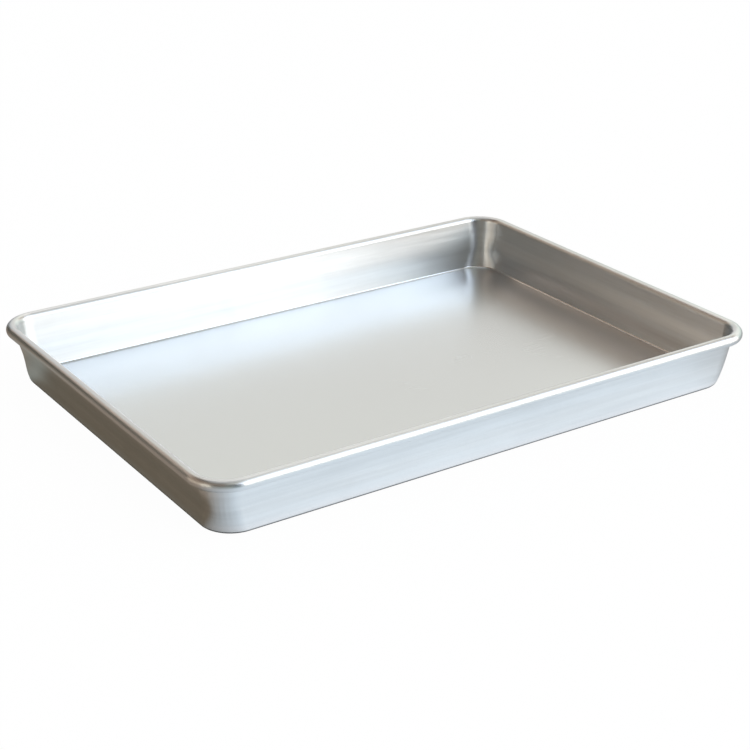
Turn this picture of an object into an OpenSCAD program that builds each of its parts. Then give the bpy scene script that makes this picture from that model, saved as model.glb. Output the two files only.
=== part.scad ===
// Jelly roll pan: one drawn aluminium sheet whose edge is rolled outward round a steel wire.
// It stands on z = 0 with its middle at the origin, its length along X and its width along Y.

/* [Pan] */
// Length over the rim
pan_length = 350; // [280:1:520]
// Width over the rim
pan_width = 250; // [180:1:400]
// Height from the table to the top of the rim
pan_height = 33.5; // [24:0.5:60]
// Lean of the walls, outward from upright, in degrees
wall_lean = 8; // [3:0.5:16]
// Thickness of the aluminium sheet
sheet_t = 1; // [0.7:0.05:1.4]
// Inside radius of the bend between the floor and a wall
floor_bend_r = 1.2; // [0.6:0.1:4]

/* [Rim] */
// Outer radius of the rim's corners
rim_corner_r = 21.3; // [18:0.1:40]
// Diameter of the steel wire in the rolled rim
wire_d = 4.2; // [3:0.1:6]
// Clearance between the wire and the sheet rolled round it
wire_clearance = 0.05; // [0.02:0.01:0.15]
// Gap between the roll's cut edge and the wall
seam_gap = 0.15; // [0.05:0.05:0.5]
// Gap between the butted ends of the wire
wire_end_gap = 1; // [0.2:0.1:3]

/* [Hidden] */
$fn = 96;

// Overlap that joins neighbouring stretches of one piece
lap = 0.0005;
// Widest step of the outline that cuts a ring down to an arc, in degrees
arc_step = 60;

// The roll: the radii of its two faces, its middle's height and its distance from the corner's axis
roll_inner_r = wire_d / 2 + wire_clearance;
roll_outer_r = roll_inner_r + sheet_t;
roll_z = pan_height - roll_outer_r;
roll_r = rim_corner_r - roll_outer_r;
// Angle left open under the roll, so that its cut edge clears the wall by seam_gap
open_angle = acos((roll_inner_r - seam_gap) / roll_outer_r);

// The bend at a wall's foot: its outer radius, its middle's distance from the corner's axis,
// and the straight stretch of wall between it and the roll
bend_outer_r = floor_bend_r + sheet_t;
roll_from_bend = bend_outer_r + roll_inner_r;
wall_run = (roll_z - bend_outer_r + roll_from_bend * sin(wall_lean)) / cos(wall_lean);
bend_r = roll_r - roll_from_bend * cos(wall_lean) - wall_run * sin(wall_lean);

// Upright axis that each corner turns about
corner_x = pan_length / 2 - rim_corner_r;
corner_y = pan_width / 2 - rim_corner_r;

// Arc of a ring, from angle a to the larger angle b
module ring_arc(outer_r, inner_r, a, b) {
    steps = ceil((b - a) / arc_step);
    intersection() {
        difference() {
            circle(outer_r);
            circle(inner_r);
        }
        polygon([[0, 0], for (i = [0:steps])
            let (t = a + (b - a) * i / steps) 2 * outer_r * [cos(t), sin(t)]]);
    }
}

// Section of the sheet from a corner's axis outward: floor, bend, leaning wall and roll.
// The turned frame has its Y along the wall, and its X through the sheet from inside to outside.
module sheet_section() {
    square([bend_r + lap, sheet_t]);
    translate([bend_r, bend_outer_r]) rotate(-wall_lean) {
        ring_arc(bend_outer_r, floor_bend_r, wall_lean - 90, 0);
        translate([floor_bend_r, -lap]) square([sheet_t, wall_run + 2 * lap]);
        translate([roll_from_bend, wall_run])
            ring_arc(roll_outer_r, roll_inner_r, open_angle - 180, 180);
    }
}

module wire_section() {
    translate([roll_r, roll_z]) circle(d = wire_d);
}

// Carries a section round the pan: a quarter turn at each corner, a straight run along each side
module round_the_pan() {
    for (i = [0:3]) {
        x = (i == 0 || i == 3) ? corner_x : -corner_x;
        y = i < 2 ? corner_y : -corner_y;
        side = i % 2 == 0 ? 2 * corner_y : 2 * corner_x;
        translate([x, y, 0]) rotate(90 * i) {
            rotate_extrude(angle = 90) children();
            translate([0, lap, 0]) rotate([90, 0, 0]) linear_extrude(side + 2 * lap) children();
        }
    }
}

module floor_middle() {
    x = corner_x + lap;
    y = corner_y + lap;
    translate([-x, -y, 0]) cube([2 * x, 2 * y, sheet_t]);
}

module pan_sheet() {
    color([0.80, 0.81, 0.82]) union() {
        round_the_pan() sheet_section();
        floor_middle();
    }
}

// The wire's ends butt at the middle of the rear side
module rim_wire() {
    color([0.45, 0.46, 0.48]) difference() {
        round_the_pan() wire_section();
        translate([-wire_end_gap / 2, corner_y + roll_r - wire_d, roll_z - wire_d])
            cube([wire_end_gap, 2 * wire_d, 2 * wire_d]);
    }
}

pan_sheet();
rim_wire();
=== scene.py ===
# Jelly roll pan: a drawn aluminium sheet with its edge rolled round a steel wire
import math

import bmesh
import bpy
import numpy as np
from mathutils import Matrix, Vector


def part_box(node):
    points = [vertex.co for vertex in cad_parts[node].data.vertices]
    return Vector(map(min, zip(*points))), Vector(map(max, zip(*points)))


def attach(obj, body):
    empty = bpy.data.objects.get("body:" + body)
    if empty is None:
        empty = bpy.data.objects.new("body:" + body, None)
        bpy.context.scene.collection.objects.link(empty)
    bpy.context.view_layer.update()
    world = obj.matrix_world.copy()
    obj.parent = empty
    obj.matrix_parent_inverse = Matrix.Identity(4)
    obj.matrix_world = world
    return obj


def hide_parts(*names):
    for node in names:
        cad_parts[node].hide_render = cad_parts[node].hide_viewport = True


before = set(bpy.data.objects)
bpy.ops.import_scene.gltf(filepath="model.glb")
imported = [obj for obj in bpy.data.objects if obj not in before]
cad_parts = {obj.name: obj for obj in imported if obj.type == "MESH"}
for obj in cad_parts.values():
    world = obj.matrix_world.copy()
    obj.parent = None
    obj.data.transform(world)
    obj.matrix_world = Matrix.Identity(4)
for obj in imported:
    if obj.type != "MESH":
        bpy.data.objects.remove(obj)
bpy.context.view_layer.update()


# The sheet: one skin for the floor, the walls and the roll round the rim
sheet = {
    "thickness": 0.001,
    "wallLean": 8.0,  # degrees from upright
    "floorBend": 0.0012,  # inside radius between the floor and a wall
    "rimCorner": 0.0213,  # outer radius of the rim's corners
    "baseGive": 0.0055,  # how much rounder the corners are at the floor than the lean alone makes them
    "seamGap": 0.00015,  # between the roll's cut edge and the wall
    "edgeRound": 0.0002,  # rounding of the cut edge
    "cornerSteps": 48,
    "longSteps": 72,
    "shortSteps": 56,
    "floorSteps": 8,
    "bendSteps": 9,
    "wallSteps": 26,
    "rollSteps": 44,
    "floorCrown": 0.00018,  # rise of the floor between its edges
    "wallBow": 0.00022,  # how far a wall bows in at its middle
    "waveHeight": 0.0291,  # above the floor, over which the waves up a wall run
    "longWaves": (0.00031, -0.00019, -0.00014, 0.0),  # inward, of one to four half waves up the wall
    "shortWaves": (0.00036, 0.00026, -0.00036, -0.00018),
    "pucker": 0.00003,  # height of the upright flutes that drawing leaves in the corners
    "puckerTurns": 9,  # flutes in one corner
    "puckerUneven": 0.4,  # share of their height that comes and goes
    "puckerBeat": 6.7,  # how fast it does so, in radians of its wave to a radian of the corner
    "puckerPhase": (0.7, 1.9),  # what sets the four corners apart
    "mapShift": 1.0,  # keeps the wall's part of the UV map clear of the floor's
    "weldReach": 1e-6,  # points closer than this are one
}


def pointing(angle):
    # Unit vector at an angle in degrees
    return np.array([math.cos(math.radians(angle)), math.sin(math.radians(angle))])


def arcPoints(centre, radius, fromAngle, toAngle, steps):
    # Circle: the centre plus the radius times the cosine and sine of evenly spaced angles, in degrees
    angles = np.radians(np.linspace(fromAngle, toAngle, steps + 1))
    return np.stack([centre[0] + radius * np.cos(angles), centre[1] + radius * np.sin(angles)], axis=1)


def easedSteps(steps):
    # Shares from 0 to 1 that lie closer together at both ends, as half a cosine wave
    return (1 - np.cos(np.linspace(0, math.pi, steps + 1))) / 2


def linePoints(start, end, shares):
    # Straight line: start plus each share of the way to the end
    start, end = np.asarray(start), np.asarray(end)
    return start + shares[:, None] * (end - start)


def panSizes():
    # The outer sizes come from the frame, the roll from the wire that lies in it
    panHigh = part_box("pan_sheet")[1]
    wireLow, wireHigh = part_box("rim_wire")
    wireRadius = (wireHigh.z - wireLow.z) / 2
    rollOuter = panHigh.x - wireHigh.x + wireRadius
    return {
        "height": panHigh.z,
        "rollOuter": rollOuter,
        "rollInner": rollOuter - sheet["thickness"],
        "corner": np.array(panHigh.xy) - sheet["rimCorner"],  # where the rim's corner axes stand
    }


def sheetSection(size):
    # Outline of the sheet from a corner's axis outward, as distance and height: along the inside
    # from the floor over the bend, wall and roll to the cut edge, and back along the outside
    lean = math.radians(sheet["wallLean"])
    thickness, bendInner = sheet["thickness"], sheet["floorBend"]
    bendOuter = bendInner + thickness
    rollOuter, rollInner = size["rollOuter"], size["rollInner"]
    rollR = sheet["rimCorner"] - rollOuter
    rollZ = size["height"] - rollOuter
    reach = bendOuter + rollInner
    wallRun = (rollZ - bendOuter + reach * math.sin(lean)) / math.cos(lean)
    bendR = rollR - reach * math.cos(lean) - wallRun * math.sin(lean)
    openAngle = math.degrees(math.acos((rollInner - sheet["seamGap"]) / rollOuter)) - 180
    cutAngle = openAngle - sheet["wallLean"]
    endTurn = -sheet["wallLean"]
    across = pointing(endTurn)  # through the wall, to the outside
    bendCentre = np.array([bendR, bendOuter])
    rollCentre = np.array([rollR, rollZ])
    floorShares = np.sin(np.linspace(0, math.pi / 2, sheet["floorSteps"] + 1))
    wall = linePoints((0, 0), rollCentre - bendCentre - across * reach, easedSteps(sheet["wallSteps"]))
    innerFoot = bendCentre + across * bendInner
    outerFoot = bendCentre + across * bendOuter
    cutSide = pointing(cutAngle)
    cutAlong = np.array([cutSide[1], -cutSide[0]])  # the way the roll is heading at its cut edge
    edge = sheet["edgeRound"]
    cutOuter = rollCentre + cutSide * (rollOuter - edge)
    cutInner = rollCentre + cutSide * (rollInner + edge)
    stretches = [
        linePoints([0, thickness], [bendR, thickness], floorShares),
        arcPoints(bendCentre, bendInner, -90, endTurn, sheet["bendSteps"])[1:],
        innerFoot + wall[1:],
        arcPoints(rollCentre, rollOuter, 180 + endTurn, cutAngle, sheet["rollSteps"])[1:],
        np.array([cutOuter + cutAlong * edge, cutInner + cutAlong * edge]),
        arcPoints(rollCentre, rollInner, cutAngle, 180 + endTurn, sheet["rollSteps"]),
        outerFoot + wall[-2::-1],
        arcPoints(bendCentre, bendOuter, endTurn, -90, sheet["bendSteps"])[1:],
        linePoints([bendR, 0], [0, 0], 1 - floorShares[::-1])[1:],
    ]
    return np.concatenate(stretches), bendR


def panPath(size):
    # Stations round the pan: each has the point of the corner axes that it is measured from, the
    # direction outward and its distance along the rim
    cornerShares = np.linspace(0, 1, sheet["cornerSteps"] + 1)
    axisX, axisY = size["corner"]
    corners = [(axisX, axisY), (-axisX, axisY), (-axisX, -axisY), (axisX, -axisY)]
    places, turns, runs = [], [], []
    travelled = 0.0
    for index, corner in enumerate(corners):
        following = corners[(index + 1) % 4]
        sideShares = easedSteps(sheet["longSteps"] if index % 2 == 0 else sheet["shortSteps"])
        atCorner = np.tile(corner, (len(cornerShares) - 1, 1))
        places += [atCorner, linePoints(corner, following, sideShares[:-1])]
        turns += [90 * (index + cornerShares[:-1]), np.full(len(sideShares) - 1, 90.0 * (index + 1))]
        cornerRun = sheet["rimCorner"] * math.pi / 2
        sideRun = math.dist(corner, following)
        runs += [travelled + cornerRun * cornerShares[:-1], travelled + cornerRun + sideRun * sideShares[:-1]]
        travelled += cornerRun + sideRun
    places.append(np.array([corners[0]]))
    turns.append(np.array([360.0]))
    runs.append(np.array([travelled]))
    angles = np.radians(np.concatenate(turns))
    outward = np.stack([np.cos(angles), np.sin(angles)], axis=1)
    return np.concatenate(places), outward, np.concatenate(runs)


def cornerGive(heights, size):
    # How far the corner axes lie in from the rim's: all of it at the floor, less by a cube up the wall
    climb = (heights - sheet["thickness"]) / (size["height"] - size["rollOuter"] - sheet["thickness"])
    return sheet["baseGive"] * (1 - np.clip(climb, 0, 1)) ** 3


def gridFaces(rows, columns, first=0):
    # Quads of a grid whose points run row by row
    index = first + np.arange(rows * columns).reshape(rows, columns)
    return np.stack([index[:-1, :-1], index[1:, :-1], index[1:, 1:], index[:-1, 1:]], axis=-1).reshape(-1, 4)


def settle(points, size, bendR):
    # Small unevenness of a real sheet, the same on both faces: the floor crowns by a product of two
    # cosines, each wall bows in by a half wave along it and by the sum of a few sine waves up it, which
    # fade out round the corners, and the corners carry faint flutes
    x, y, z = points.T
    axisX, axisY = size["corner"]
    give = cornerGive(z, size)
    shareX = np.clip(np.abs(x) / (axisX + bendR), 0, 1)
    shareY = np.clip(np.abs(y) / (axisY + bendR), 0, 1)
    crown = (np.cos(math.pi * shareX) + 1) * (np.cos(math.pi * shareY) + 1) / 4
    rise = sheet["floorCrown"] * crown * (z < 2 * sheet["thickness"])
    up = np.clip((z - sheet["thickness"]) / (size["height"] - 2 * size["rollOuter"]), 0, 1)
    swell = np.sin(math.pi * up) ** 2
    besideX = np.clip(np.abs(x) - axisX + give, 0, None)
    besideY = np.clip(np.abs(y) - axisY + give, 0, None)
    bow = sheet["wallBow"] * swell
    alongX = np.cos(math.pi / 2 * np.clip(np.abs(x) / axisX, 0, 1)) ** 2
    alongY = np.cos(math.pi / 2 * np.clip(np.abs(y) / axisY, 0, 1)) ** 2
    inwardX = bow * alongY * (besideX > 0)
    inwardY = bow * alongX * (besideY > 0)
    angle = np.arctan2(besideY, besideX)
    climb = np.clip((z - sheet["thickness"]) / sheet["waveHeight"], 0, 1)
    ripples = [np.sin(math.pi * (index + 1) * climb) for index in range(len(sheet["longWaves"]))]
    longWave, shortWave = np.dot(sheet["longWaves"], ripples), np.dot(sheet["shortWaves"], ripples)
    inCorner = np.sin(2 * angle) ** 2
    wave = (longWave * np.sin(angle) ** 2 + shortWave * np.cos(angle) ** 2) * (1 - inCorner)
    phase = np.sign(x) * sheet["puckerPhase"][0] + np.sign(y) * sheet["puckerPhase"][1]
    beat = np.sin(sheet["puckerBeat"] * angle + 2 * phase) - 1
    flute = np.sin(4 * sheet["puckerTurns"] * angle + phase) * (1 + sheet["puckerUneven"] * beat)
    pull = sheet["pucker"] * inCorner * swell * (flute - 1)
    shifted = points.copy()
    shifted[:, 0] += np.sign(x) * ((pull - wave) * np.cos(angle) * (besideX > 0) - inwardX)
    shifted[:, 1] += np.sign(y) * ((pull - wave) * np.sin(angle) * (besideY > 0) - inwardY)
    shifted[:, 2] += rise
    return shifted


def buildPan():
    # The section is carried round the path: each point is the station's corner axis plus the outward
    # direction times the section's distance. Down the wall the axes draw in and the distances grow by
    # as much, so the corners turn rounder and the sides stay. Two flat grids close the floor between
    size = panSizes()
    section, bendR = sheetSection(size)
    places, outward, runs = panPath(size)
    stations, around = len(places), len(section)
    give = cornerGive(section[:, 1], size)
    distances = section[:, 0] + give * np.clip(section[:, 0] / bendR, 0, 1)
    swept = np.empty((stations, around, 3))
    drawnIn = places[:, None] * (1 - give[:, None] / size["corner"])
    swept[..., :2] = drawnIn + outward[:, None] * distances[:, None]
    swept[..., 2] = section[None, :, 1]
    lengths = np.concatenate([[0], np.cumsum(np.linalg.norm(np.diff(section, axis=0), axis=1))])
    across = sheet["mapShift"] + lengths
    sweptUv = np.stack(np.broadcast_arrays(runs[:, None], across[None, :]), axis=-1).reshape(-1, 2)
    gridHalf = size["corner"] - sheet["baseGive"]
    gridX = gridHalf[0] * (2 * easedSteps(sheet["longSteps"]) - 1)
    gridY = gridHalf[1] * (2 * easedSteps(sheet["shortSteps"]) - 1)
    floorX, floorY = np.meshgrid(gridX, gridY, indexing="ij")
    floorTop = np.stack([floorX, floorY, np.full_like(floorX, sheet["thickness"])], axis=-1).reshape(-1, 3)
    floorBase = floorTop * [1, 1, 0]
    points = np.concatenate([swept.reshape(-1, 3), floorTop, floorBase])
    sweptFaces = gridFaces(stations, around)
    topFaces = gridFaces(len(gridX), len(gridY), stations * around)
    baseFaces = gridFaces(len(gridX), len(gridY), stations * around + len(floorTop))[:, ::-1]
    faces = np.concatenate([sweptFaces, topFaces, baseFaces])
    planarUv = points[:, :2]
    uv = np.concatenate([sweptUv, planarUv[len(sweptUv):]])
    column = np.tile(np.arange(around - 1), stations - 1)
    onFloor = np.ones(len(faces), bool)
    onFloor[:len(sweptFaces)] = (column < sheet["floorSteps"]) | (column >= around - 1 - sheet["floorSteps"])
    cornerUv = np.where(onFloor[:, None, None], planarUv[faces], uv[faces])
    mesh = bpy.data.meshes.new("pan")
    mesh.from_pydata(settle(points, size, bendR).tolist(), [], faces.tolist())
    mesh.uv_layers.new(name="sheet").data.foreach_set("uv", cornerUv.astype(np.float32).ravel())
    mesh.polygons.foreach_set("use_smooth", np.ones(len(faces), bool))
    mesh.polygons.foreach_set("material_index", np.where(onFloor, 0, 1))
    return closeSeams(mesh)


def closeSeams(mesh):
    # Points that fall together, at the seam and at the corner axes, become one
    work = bmesh.new()
    work.from_mesh(mesh)
    bmesh.ops.remove_doubles(work, verts=work.verts, dist=sheet["weldReach"])
    bmesh.ops.dissolve_degenerate(work, edges=work.edges, dist=sheet["weldReach"])
    bmesh.ops.recalc_face_normals(work, faces=work.faces)
    work.to_mesh(mesh)
    work.free()
    return mesh


pan = bpy.data.objects.new("jelly_roll_pan_sheet", buildPan())
bpy.context.scene.collection.objects.link(pan)
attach(pan, "root")
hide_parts("pan_sheet")
print("pan sheet built:", len(pan.data.polygons), "faces")


# The finishes: one mill-rolled aluminium, satin on the floor and drawn lengthwise on the walls
grainLook = {
    "lines": (0.3, 0.7),  # the part of the noise that the lines are spread over
    "clouds": (0.32, 0.68),
    "cloudsAlong": 14.0,  # clouds in a metre along and across the grain
    "cloudsAcross": 22.0,
}
marksLook = {
    "hairs": ((0.35, 1.0), (-0.8, 0.8), (1.25, 0.6)),  # turn in radians and strength of each set
    "hairStretch": 45.0,  # how much longer a hairline is than the gaps between them
    "patchAlong": 31.0,  # patches in a metre in which hairlines are kept
    "patchAcross": 47.0,
    "patches": (0.56, 0.66),
    "smudgeScale": 26.0,
    "smudges": (0.5, 0.75),
}


def newGroup(name, inputs, outputs):
    # A shader node group with named sockets: an input with a default is a float, one without a vector
    group = bpy.data.node_groups.new(name, "ShaderNodeTree")
    for socketName, default in inputs.items():
        kind = "NodeSocketVector" if default is None else "NodeSocketFloat"
        socket = group.interface.new_socket(name=socketName, in_out="INPUT", socket_type=kind)
        if default is not None:
            socket.default_value = default
    for socketName in outputs:
        group.interface.new_socket(name=socketName, in_out="OUTPUT", socket_type="NodeSocketFloat")
    start, end = group.nodes.new("NodeGroupInput"), group.nodes.new("NodeGroupOutput")
    return group, start.outputs, end.inputs


def feed(tree, socket, value):
    # A socket takes either another node's output or a plain value
    if isinstance(value, bpy.types.NodeSocket):
        tree.links.new(value, socket)
    else:
        socket.default_value = value


def maths(tree, operation, first, second=0.0, third=0.0):
    node = tree.nodes.new("ShaderNodeMath")
    node.operation = operation
    for socket, value in zip(node.inputs, (first, second, third)):
        feed(tree, socket, value)
    return node.outputs["Value"]


def scaled(tree, vector, along, across):
    # The vector with its first axis times one factor and the two others times another
    combine = tree.nodes.new("ShaderNodeCombineXYZ")
    for socket, value in zip(combine.inputs, (along, across, across)):
        feed(tree, socket, value)
    node = tree.nodes.new("ShaderNodeVectorMath")
    node.operation = "MULTIPLY"
    feed(tree, node.inputs[0], vector)
    feed(tree, node.inputs[1], combine.outputs["Vector"])
    return node.outputs["Vector"]


def noise(tree, vector, detail=2.0, roughness=0.5, distortion=0.0):
    node = tree.nodes.new("ShaderNodeTexNoise")
    feed(tree, node.inputs["Vector"], vector)
    node.inputs["Scale"].default_value = 1
    node.inputs["Detail"].default_value = detail
    node.inputs["Roughness"].default_value = roughness
    node.inputs["Distortion"].default_value = distortion
    return node.outputs["Fac"]


def spread(tree, value, low, high, toLow=0.0, toHigh=1.0):
    # Smooth step: the value's stretch from low to high becomes the one from toLow to toHigh
    node = tree.nodes.new("ShaderNodeMapRange")
    node.interpolation_type = "SMOOTHSTEP"
    names = ("Value", "From Min", "From Max", "To Min", "To Max")
    for name, setting in zip(names, (value, low, high, toLow, toHigh)):
        feed(tree, node.inputs[name], setting)
    return node.outputs["Result"]


def grainGroup():
    # Fine lines along the first axis, as rolling and drawing leave them, and slow clouds over them
    inputs = {"Vector": None, "Length": 0.04, "Width": 0.0002}
    group, given, made = newGroup("rolled_grain", inputs, ("Lines", "Clouds"))
    along = maths(group, "DIVIDE", 1.0, given["Length"])
    across = maths(group, "DIVIDE", 1.0, given["Width"])
    lines = noise(group, scaled(group, given["Vector"], along, across), detail=3.0, roughness=0.6)
    group.links.new(spread(group, lines, *grainLook["lines"]), made["Lines"])
    drifting = scaled(group, given["Vector"], grainLook["cloudsAlong"], grainLook["cloudsAcross"])
    clouds = noise(group, drifting, detail=4.0, roughness=0.55)
    group.links.new(spread(group, clouds, *grainLook["clouds"]), made["Clouds"])
    return group


def marksGroup():
    # Handling marks: hairlines where a stretched noise crosses its middle, kept in a few places,
    # and smudges where a slow noise is high
    inputs = {"Vector": None, "Reach": 0.05, "Fineness": 0.004}
    group, given, made = newGroup("handling_marks", inputs, ("Hairlines", "Smudges"))
    along = maths(group, "DIVIDE", 1.0, given["Reach"])
    across = maths(group, "MULTIPLY", along, marksLook["hairStretch"])
    hairlines = 0.0
    for turn, strength in marksLook["hairs"]:
        rotate = group.nodes.new("ShaderNodeVectorRotate")
        rotate.rotation_type = "Z_AXIS"
        rotate.inputs["Angle"].default_value = turn
        feed(group, rotate.inputs["Vector"], given["Vector"])
        turned = rotate.outputs["Vector"]
        waves = noise(group, scaled(group, turned, along, across), detail=1.0)
        level = maths(group, "ABSOLUTE", maths(group, "SUBTRACT", waves, 0.5))
        line = spread(group, level, 0.0, given["Fineness"], 1.0, 0.0)
        patch = scaled(group, turned, marksLook["patchAlong"], marksLook["patchAcross"])
        kept = spread(group, noise(group, patch, detail=1.0), *marksLook["patches"], 0.0, strength)
        hairlines = maths(group, "MAXIMUM", hairlines, maths(group, "MULTIPLY", line, kept))
    group.links.new(hairlines, made["Hairlines"])
    slow = scaled(group, given["Vector"], marksLook["smudgeScale"], marksLook["smudgeScale"])
    smudges = noise(group, slow, detail=2.0, distortion=0.6)
    group.links.new(spread(group, smudges, *marksLook["smudges"]), made["Smudges"])
    return group


grain = grainGroup()
marks = marksGroup()


def bareMaterial(name):
    material = bpy.data.materials.new(name)
    material.use_nodes = True
    tree = material.node_tree
    tree.nodes.clear()
    return material, tree, tree.nodes.new("ShaderNodeOutputMaterial").inputs["Surface"]


def metalMaterial(name):
    material, tree, surface = bareMaterial(name)
    shader = tree.nodes.new("ShaderNodeBsdfPrincipled")
    shader.inputs["Metallic"].default_value = 1
    tree.links.new(shader.outputs["BSDF"], surface)
    return material, tree, shader


def placeGroup(tree, group, **values):
    node = tree.nodes.new("ShaderNodeGroup")
    node.node_tree = group
    for name, value in values.items():
        feed(tree, node.inputs[name], value)
    return node.outputs


def mixTint(tree, share, first, second):
    node = tree.nodes.new("ShaderNodeMix")
    node.data_type = "RGBA"
    feed(tree, node.inputs["Factor"], share)
    node.inputs["A"].default_value = (*first, 1)
    node.inputs["B"].default_value = (*second, 1)
    return node.outputs["Result"]


def addBump(tree, shader, height):
    # The height is in metres, so the bump's distance is 1
    bump = tree.nodes.new("ShaderNodeBump")
    bump.inputs["Strength"].default_value = 1
    bump.inputs["Distance"].default_value = 1
    feed(tree, bump.inputs["Height"], height)
    tree.links.new(bump.outputs["Normal"], shader.inputs["Normal"])


def total(tree, *terms):
    # Sum of value and weight pairs
    result = 0.0
    for value, weight in terms:
        result = maths(tree, "MULTIPLY_ADD", value, weight, result)
    return result


# The floor: rolling lines along the pan, slow clouds in the tint, hairlines and smudges
floorFinish = {
    "tint": (0.735, 0.757, 0.78),
    "worn": (0.69, 0.705, 0.72),
    "rough": 0.263,  # where nothing marks it
    "grainLength": 0.045,
    "grainWidth": 0.00022,
    "hairReach": 0.06,
    "hairFineness": 0.012,
    "cloudWear": 0.08,
    "smudgeWear": 0.08,
    "lineRough": 0.005,
    "markRough": 0.004,
    "lineRelief": 1e-7,  # metres
    "hairRelief": -5e-8,
}


def satinAluminium():
    look = floorFinish
    material, tree, shader = metalMaterial("satin_aluminium")
    place = tree.nodes.new("ShaderNodeTexCoord").outputs["Object"]
    rolled = placeGroup(tree, grain, Vector=place, Length=look["grainLength"], Width=look["grainWidth"])
    handled = placeGroup(tree, marks, Vector=place, Reach=look["hairReach"], Fineness=look["hairFineness"])
    wear = total(tree, (rolled["Clouds"], look["cloudWear"]), (handled["Smudges"], look["smudgeWear"]))
    tree.links.new(mixTint(tree, wear, look["tint"], look["worn"]), shader.inputs["Base Color"])
    rough = total(
        tree,
        (1.0, look["rough"]),
        (rolled["Lines"], look["lineRough"]),
        (rolled["Clouds"], look["markRough"]),
        (handled["Smudges"], look["markRough"]),
        (handled["Hairlines"], look["markRough"]),
    )
    tree.links.new(rough, shader.inputs["Roughness"])
    relief = total(tree, (rolled["Lines"], look["lineRelief"]), (handled["Hairlines"], look["hairRelief"]))
    addBump(tree, shader, relief)
    return material


# The walls and the roll: drawing lines and broad streaks run lengthwise, so the finish is smoother
# along the wall than up it. The streaks' light and dark bands in the colour are painted sheen
wallFinish = {
    "bright": (0.78, 0.8, 0.82),  # the lightest and the darkest of the tint: painted sheen streaks and wear
    "dull": (0.62, 0.635, 0.65),
    "wallRough": 0.36,
    "rollRough": 0.31,
    "bendRough": 0.2,
    "bendHeights": (0.0014, 0.0026),  # over which the bend's finish turns into the wall's
    "rollHeights": (0.0285, 0.0305),  # over which the wall's finish turns into the roll's
    "anisotropic": 0.75,
    "grainLength": 0.045,
    "grainWidth": 0.00022,
    "streakLength": 0.16,
    "streakWidth": 0.0065,
    "hairReach": 0.05,
    "hairFineness": 0.01,
    # painted sheen: how far the streaks lighten and darken the tint
    "streakSheen": 0.5,
    "cloudWear": 0.15,
    "smudgeWear": 0.12,
    "plainShare": 0.95,  # of the roughness above, where no line adds to it
    "lineRough": 0.02,
    "streakRough": 0.03,
    "hairRough": 0.05,
    "lineRelief": 1e-6,  # metres
    "streakRelief": 7e-5,
    "hairRelief": -1e-6,
}


def drawnAluminium():
    # The UV map runs along the rim and across the sheet
    look = wallFinish
    material, tree, shader = metalMaterial("drawn_aluminium")
    place = tree.nodes.new("ShaderNodeTexCoord").outputs["Object"]
    sheetUv = tree.nodes.new("ShaderNodeUVMap")
    sheetUv.uv_map = "sheet"
    along = sheetUv.outputs["UV"]
    drawn = placeGroup(tree, grain, Vector=along, Length=look["grainLength"], Width=look["grainWidth"])
    streaks = placeGroup(tree, grain, Vector=along, Length=look["streakLength"], Width=look["streakWidth"])
    handled = placeGroup(tree, marks, Vector=place, Reach=look["hairReach"], Fineness=look["hairFineness"])
    # The tint: painted sheen in light and dark lengthwise streaks, with clouds and smudges of wear
    wear = total(
        tree,
        (streaks["Lines"], look["streakSheen"]),
        (drawn["Clouds"], look["cloudWear"]),
        (handled["Smudges"], look["smudgeWear"]),
    )
    tree.links.new(mixTint(tree, wear, look["bright"], look["dull"]), shader.inputs["Base Color"])
    split = tree.nodes.new("ShaderNodeSeparateXYZ")
    tree.links.new(place, split.inputs["Vector"])
    height = split.outputs["Z"]
    wall = spread(tree, height, *look["bendHeights"], look["bendRough"], look["wallRough"])
    plain = spread(tree, height, *look["rollHeights"], wall, look["rollRough"])
    rough = total(
        tree,
        (plain, look["plainShare"]),
        (drawn["Lines"], look["lineRough"]),
        (streaks["Lines"], look["streakRough"]),
        (handled["Hairlines"], look["hairRough"]),
    )
    tree.links.new(rough, shader.inputs["Roughness"])
    shader.inputs["Anisotropic"].default_value = look["anisotropic"]
    shader.inputs["Anisotropic Rotation"].default_value = 0.25  # a quarter turn
    tangent = tree.nodes.new("ShaderNodeTangent")
    tangent.direction_type = "UV_MAP"
    tangent.uv_map = "sheet"
    tree.links.new(tangent.outputs["Tangent"], shader.inputs["Tangent"])
    relief = total(
        tree,
        (drawn["Lines"], look["lineRelief"]),
        (streaks["Lines"], look["streakRelief"]),
        (handled["Hairlines"], look["hairRelief"]),
    )
    addBump(tree, shader, relief)
    return material


# The wire: drawn steel with die lines and dull patches of zinc and oil
wireFinish = {
    "bright": (0.56, 0.56, 0.55),
    "dull": (0.38, 0.37, 0.35),
    "rough": 0.34,
    "grainLength": 0.002,
    "grainWidth": 0.0006,
    "hairReach": 0.02,
    "hairFineness": 0.006,
    "cloudWear": 0.6,
    "lineWear": 0.3,
    "lineRough": 0.1,
    "hairRough": 0.08,
    "lineRelief": 4e-6,  # metres
    "hairRelief": -3e-6,
}


def wireSteel():
    look = wireFinish
    material, tree, shader = metalMaterial("drawn_wire_steel")
    place = tree.nodes.new("ShaderNodeTexCoord").outputs["Object"]
    drawn = placeGroup(tree, grain, Vector=place, Length=look["grainLength"], Width=look["grainWidth"])
    handled = placeGroup(tree, marks, Vector=place, Reach=look["hairReach"], Fineness=look["hairFineness"])
    wear = total(tree, (drawn["Clouds"], look["cloudWear"]), (drawn["Lines"], look["lineWear"]))
    tree.links.new(mixTint(tree, wear, look["bright"], look["dull"]), shader.inputs["Base Color"])
    rough = total(
        tree,
        (1.0, look["rough"]),
        (drawn["Lines"], look["lineRough"]),
        (handled["Hairlines"], look["hairRough"]),
    )
    tree.links.new(rough, shader.inputs["Roughness"])
    relief = total(tree, (drawn["Lines"], look["lineRelief"]), (handled["Hairlines"], look["hairRelief"]))
    addBump(tree, shader, relief)
    return material


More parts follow.
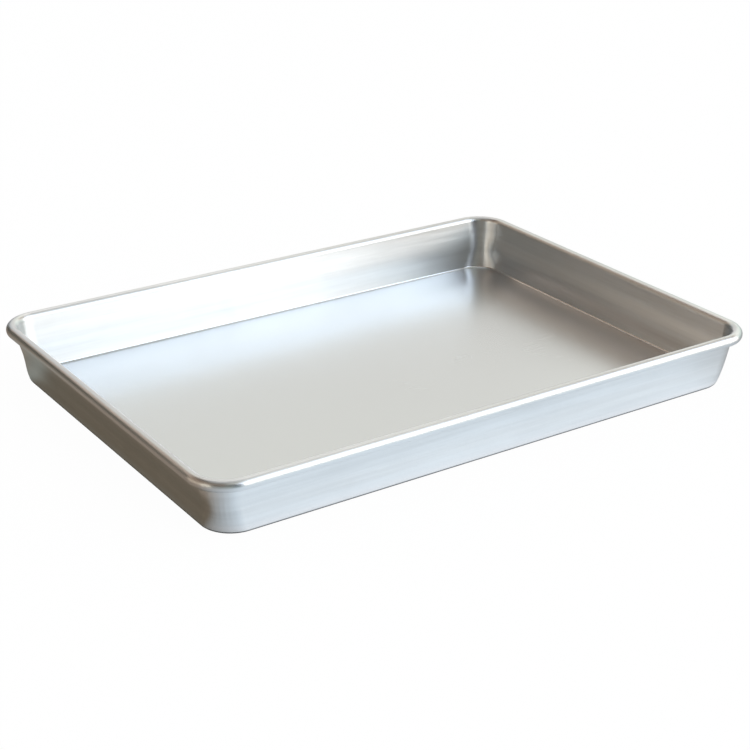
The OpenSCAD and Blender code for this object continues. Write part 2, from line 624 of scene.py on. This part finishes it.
pan.data.materials.append(satinAluminium())
pan.data.materials.append(drawnAluminium())
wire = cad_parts["rim_wire"]
steel = wireSteel()
for materialSlot in wire.material_slots:
    materialSlot.material = steel
print("finishes made:", [material.name for material in bpy.data.materials])


# The camera stands where the photograph was taken from
view = {
    "azimuth": -34.130,  # degrees, 0 looks along +Y
    "elevation": 23.976,
    "distance": 0.9576,
    "roll": 0.4046,
    "lens": 80.31,  # mm
    "sensor": 36,  # mm
    "target": (0.00307, 0.00369, 0.0),
    "sees": (0.01, 100),  # nearest and farthest, in metres
}


def aimCamera():
    azimuth, elevation, roll = (math.radians(view[key]) for key in ("azimuth", "elevation", "roll"))
    back = Vector((
        math.sin(azimuth) * math.cos(elevation),
        -math.cos(azimuth) * math.cos(elevation),
        math.sin(elevation),
    ))
    right = Vector((math.cos(azimuth), math.sin(azimuth), 0))
    up = right.cross(-back)
    turnedRight = math.cos(roll) * right + math.sin(roll) * up
    turnedUp = math.cos(roll) * up - math.sin(roll) * right
    camera = bpy.data.objects.new("camera", bpy.data.cameras.new("camera"))
    bpy.context.scene.collection.objects.link(camera)
    turned = Matrix((turnedRight, turnedUp, back)).transposed().to_4x4()
    camera.matrix_world = Matrix.Translation(Vector(view["target"]) + back * view["distance"]) @ turned
    camera.data.sensor_width = view["sensor"]
    camera.data.lens = view["lens"]
    camera.data.clip_start, camera.data.clip_end = view["sees"]
    bpy.context.scene.camera = camera


aimCamera()
bpy.context.scene.view_settings.view_transform = "Standard"
print("camera placed:", view["distance"], "m away with a lens of", view["lens"], "mm")


# The stage: a white floor and world, a soft key at the front right, and the room that the metal
# mirrors, as cards that nothing else sees: dark behind the camera and bright at a door to its left.
# Azimuths run from +X towards +Y, in degrees
studio = {
    "ambient": 0.88,  # the world's strength for light that falls on the floor
    "floorSize": 12.0,
    "floorDrop": 0.0002,  # below the pan's underside
    "floorTint": (0.95, 0.95, 0.95),
    "whiteToCamera": 0.97,  # how far the floor shows as plain white, to the camera and in the metal
    "whiteToMetal": 0.75,
    "cardRadius": 4.0,
    "cardSteps": 24,  # across and up a card
    "cardRises": 12,
    "lampDistance": 4.0,
}
# Each lamp: azimuth, elevation, width and height in metres, colour and radiance
lamps = {
    "key_low": (312, 8, 4.7, 1.15, (1.0, 0.84, 0.68), 1.68),
    "key_high": (312, 25, 4.5, 1.27, (0.85, 0.98, 1.0), 1.66),
    "key_top": (307, 42, 4.2, 1.15, (0.58, 0.75, 1.0), 1.5),
}
# Each card of the room: azimuths, elevations, colour at its foot and at its top
cards = {
    "near_dark": (240, 255, 0, 34, (0.32, 0.28, 0.18), (0.17, 0.22, 0.22)),
    "near_black": (255, 277, 0, 34, (0.0, 0.0, 0.0), (0.0, 0.0, 0.0)),
    "near_edge": (277, 283, 0, 34, (0.6, 0.65, 0.7), (0.8, 0.9, 1.0)),
    "room_near": (203, 240, 0, 34, (0.43, 0.43, 0.37), (0.0, 0.0, 0.0)),
    "room_left": (135, 179, 0, 34, (1.25, 1.02, 0.78), (0.0, 0.0, 0.0)),
    "room_door": (179, 203, 0, 34, (2.2, 2.0, 1.65), (0.0, 0.0, 0.0)),
    "room_corner": (90, 135, 0, 24, (0.11, 0.12, 0.1), (0.0, 0.0, 0.0)),
    "room_shelf": (90, 135, 24, 34, (0.0, 0.0, 0.0), (1.25, 1.04, 0.86)),
    "room_side": (75, 90, 0, 34, (0.0, 0.0, 0.0), (0.92, 0.97, 1.0)),
    "backdrop": (45, 75, 0, 34, (0.92, 0.86, 0.85), (0.79, 0.79, 0.73)),
    "sky_right": (345, 405, 0, 34, (0.6, 0.77, 0.7), (1.4, 1.35, 1.25)),
    "sky_top": (345, 390, 34, 65, (0.3, 0.18, 0.08), (0.72, 0.69, 0.61)),
    "upper_near": (240, 268, 34, 50, (0.11, 0.12, 0.12), (0.17, 0.18, 0.22)),
    "upper_left": (90, 240, 34, 65, (0.51, 0.35, 0.25), (0.0, 0.0, 0.0)),
    "upper_back": (30, 90, 34, 65, (1.0, 1.02, 0.84), (1.5, 1.38, 1.4)),
    "ceiling_front": (240, 345, 50, 65, (1.06, 1.05, 0.99), (0.52, 0.48, 0.3)),
    "ceiling": (0, 360, 65, 90, (0.33, 0.35, 0.31), (0.62, 0.62, 0.61)),
}
# What the metal sees of the floor round the pan, as a card of painted shade and light: the pan's
# shadow painted dark on its left and under the bend, and a painted glint beside the bend at the
# front. Each row: a direction in degrees, then the colour under the bend, in a narrow glint beside
# it, close by, beyond and far off
floorShadeAndGlint = [
    (0, (0.12, 0.12, 0.12), (0.4, 0.4, 0.4), (0.4, 0.4, 0.4), (0.4, 0.4, 0.4), (0.4, 0.4, 0.4)),
    (90, (0.12, 0.12, 0.12), (0.4, 0.4, 0.4), (0.4, 0.4, 0.4), (0.4, 0.4, 0.4), (0.4, 0.4, 0.4)),
    (100, (0.02, 0.02, 0.01), (0.12, 0.1, 0.07), (0.09, 0.07, 0.04), (0.28, 0.21, 0.16), (0.28, 0.21, 0.16)),
    (150, (0.08, 0.08, 0.07), (0.28, 0.3, 0.28), (0.28, 0.3, 0.27), (0.36, 0.36, 0.32), (0.28, 0.21, 0.16)),
    (180, (0.03, 0.03, 0.02), (0.17, 0.15, 0.12), (0.1, 0.08, 0.05), (0.32, 0.26, 0.21), (0.28, 0.22, 0.18)),
    (267, (0.15, 0.16, 0.17), (1.05, 1.1, 1.15), (0.84, 0.94, 1.02), (0.84, 0.94, 1.02), (0.41, 0.54, 0.57)),
]
ring = {
    "distances": (0.0, 0.0021, 0.0034, 0.0055, 0.008, 0.02, 0.03, 0.11, 0.13, 4.0),
    "bands": (0, 0, 1, 1, 2, 2, 3, 3, 4, 4),  # which of the five colours lies at each distance
}


def blended(first, second, share):
    first, second = np.asarray(first), np.asarray(second)
    return first + (second - first) * np.clip(share, 0, 1)[..., None]


def whiteWorld():
    # Plain white to the camera and in reflections, a plain ambient level for everything else
    world = bpy.data.worlds.new("studio")
    bpy.context.scene.world = world
    world.use_nodes = True
    tree = world.node_tree
    path = tree.nodes.new("ShaderNodeLightPath")
    seen = maths(tree, "MAXIMUM", path.outputs["Is Camera Ray"], path.outputs["Is Glossy Ray"])
    seen = maths(tree, "MAXIMUM", seen, path.outputs["Is Transmission Ray"])
    strength = maths(tree, "MULTIPLY_ADD", seen, 1 - studio["ambient"], studio["ambient"])
    background = tree.nodes["Background"]
    background.inputs["Color"].default_value = (1, 1, 1, 1)
    feed(tree, background.inputs["Strength"], strength)


def stageObject(name, points, faces, material):
    mesh = bpy.data.meshes.new(name)
    mesh.from_pydata(points, [], faces)
    mesh.materials.append(material)
    piece = bpy.data.objects.new(name, mesh)
    bpy.context.scene.collection.objects.link(piece)
    return piece


def whiteFloor():
    # The floor is a lit matte white, and shows mostly as plain white where it is looked at. From
    # below it is clear, so that the pan's underside can be seen
    material, tree, surface = bareMaterial("white_floor")
    path = tree.nodes.new("ShaderNodeLightPath")
    mirrored = maths(tree, "MAXIMUM", path.outputs["Is Glossy Ray"], path.outputs["Is Transmission Ray"])
    toCamera = maths(tree, "MULTIPLY", path.outputs["Is Camera Ray"], studio["whiteToCamera"])
    share = maths(tree, "MAXIMUM", toCamera, maths(tree, "MULTIPLY", mirrored, studio["whiteToMetal"]))
    matte = tree.nodes.new("ShaderNodeBsdfDiffuse")
    matte.inputs["Color"].default_value = (*studio["floorTint"], 1)
    plain = tree.nodes.new("ShaderNodeEmission")
    both = tree.nodes.new("ShaderNodeMixShader")
    feed(tree, both.inputs["Fac"], share)
    tree.links.new(matte.outputs["BSDF"], both.inputs[1])
    tree.links.new(plain.outputs["Emission"], both.inputs[2])
    oneSided = tree.nodes.new("ShaderNodeMixShader")
    feed(tree, oneSided.inputs["Fac"], tree.nodes.new("ShaderNodeNewGeometry").outputs["Backfacing"])
    tree.links.new(both.outputs["Shader"], oneSided.inputs[1])
    tree.links.new(tree.nodes.new("ShaderNodeBsdfTransparent").outputs["BSDF"], oneSided.inputs[2])
    tree.links.new(oneSided.outputs["Shader"], surface)
    half, low = studio["floorSize"] / 2, -studio["floorDrop"]
    corners = [(-half, -half, low), (half, -half, low), (half, half, low), (-half, half, low)]
    stageObject("floor", corners, [(0, 1, 2, 3)], material)


def glowMaterial():
    # A card shines with the colour that its points carry
    material, tree, surface = bareMaterial("card_glow")
    carried = tree.nodes.new("ShaderNodeAttribute")
    carried.attribute_name = "glow"
    glow = tree.nodes.new("ShaderNodeEmission")
    tree.links.new(carried.outputs["Color"], glow.inputs["Color"])
    tree.links.new(glow.outputs["Emission"], surface)
    return material


def glowCard(name, points, colours, material):
    # A grid of points, seen only in reflections
    faces = gridFaces(*points.shape[:2])
    card = stageObject(name, points.reshape(-1, 3).tolist(), faces.tolist(), material)
    carried = card.data.attributes.new("glow", "FLOAT_COLOR", "POINT")
    opaque = np.concatenate([colours, np.ones(colours.shape[:2] + (1,))], axis=-1)
    carried.data.foreach_set("color", opaque.astype(np.float32).ravel())
    card.visible_camera = False
    card.visible_diffuse = False
    card.visible_shadow = False


def roomCard(name, azimuths, elevations, low, high, material):
    # Part of a sphere round the pan. Its colour changes with the height, from its foot to its top
    around, up = np.meshgrid(
        np.radians(np.linspace(*azimuths, studio["cardSteps"] + 1)),
        np.radians(np.linspace(*elevations, studio["cardRises"] + 1)),
        indexing="ij",
    )
    points = np.stack([np.cos(around) * np.cos(up), np.sin(around) * np.cos(up), np.sin(up)], axis=-1)
    height = points[..., 2]
    climb = (height - height.min()) / (height.max() - height.min())
    glowCard(name, studio["cardRadius"] * points, blended(low, high, climb), material)


def shadeAndGlintCard(material):
    # A strip on the floor all round the pan, seen only in the metal, that carries painted shade and a
    # painted glint: each point lies at a distance from the pan's base, in a station's outward
    # direction, and the colours run evenly between the directions of the table
    size = panSizes()
    places, outward = panPath(size)[:2]
    distances = np.array(ring["distances"]) + sheetSection(size)[1] + sheet["baseGive"]
    drawnIn = places * (1 - sheet["baseGive"] / size["corner"])
    points = np.full((len(places), len(distances), 3), -studio["floorDrop"] / 2)
    points[..., :2] = drawnIn[:, None] + outward[:, None] * distances[:, None]
    turns = np.degrees(np.arctan2(outward[:, 1], outward[:, 0]))
    known = [row[0] for row in floorShadeAndGlint]
    tones = np.array([row[1:] for row in floorShadeAndGlint])
    colours = np.zeros(points.shape)
    for column, band in enumerate(ring["bands"]):
        for channel in range(3):
            tone = tones[:, band, channel]
            colours[:, column, channel] = np.interp(turns, known, tone, period=360)
    glowCard("floor_shade_and_glint", points, colours, material)


def softLamp(name, azimuth, elevation, width, height, colour, radiance):
    # A rectangle that faces the pan. Its power is the radiance times pi times its area
    lamp = bpy.data.lights.new(name, "AREA")
    lamp.shape = "RECTANGLE"
    lamp.size, lamp.size_y = width, height
    lamp.color = colour
    lamp.energy = radiance * math.pi * width * height
    piece = bpy.data.objects.new(name, lamp)
    bpy.context.scene.collection.objects.link(piece)
    around, up = math.radians(azimuth), math.radians(elevation)
    outward = Vector((math.cos(around) * math.cos(up), math.sin(around) * math.cos(up), math.sin(up)))
    piece.location = outward * studio["lampDistance"]
    piece.rotation_euler = outward.to_track_quat("Z", "Y").to_euler()
    piece.visible_camera = False


whiteWorld()
whiteFloor()
for name, values in lamps.items():
    softLamp(name, *values)
glow = glowMaterial()
for name, (fromAzimuth, toAzimuth, fromElevation, toElevation, low, high) in cards.items():
    roomCard(name, (fromAzimuth, toAzimuth), (fromElevation, toElevation), low, high, glow)
shadeAndGlintCard(glow)
print("stage set:", len(lamps), "lamps and", len(cards) + 1, "cards")
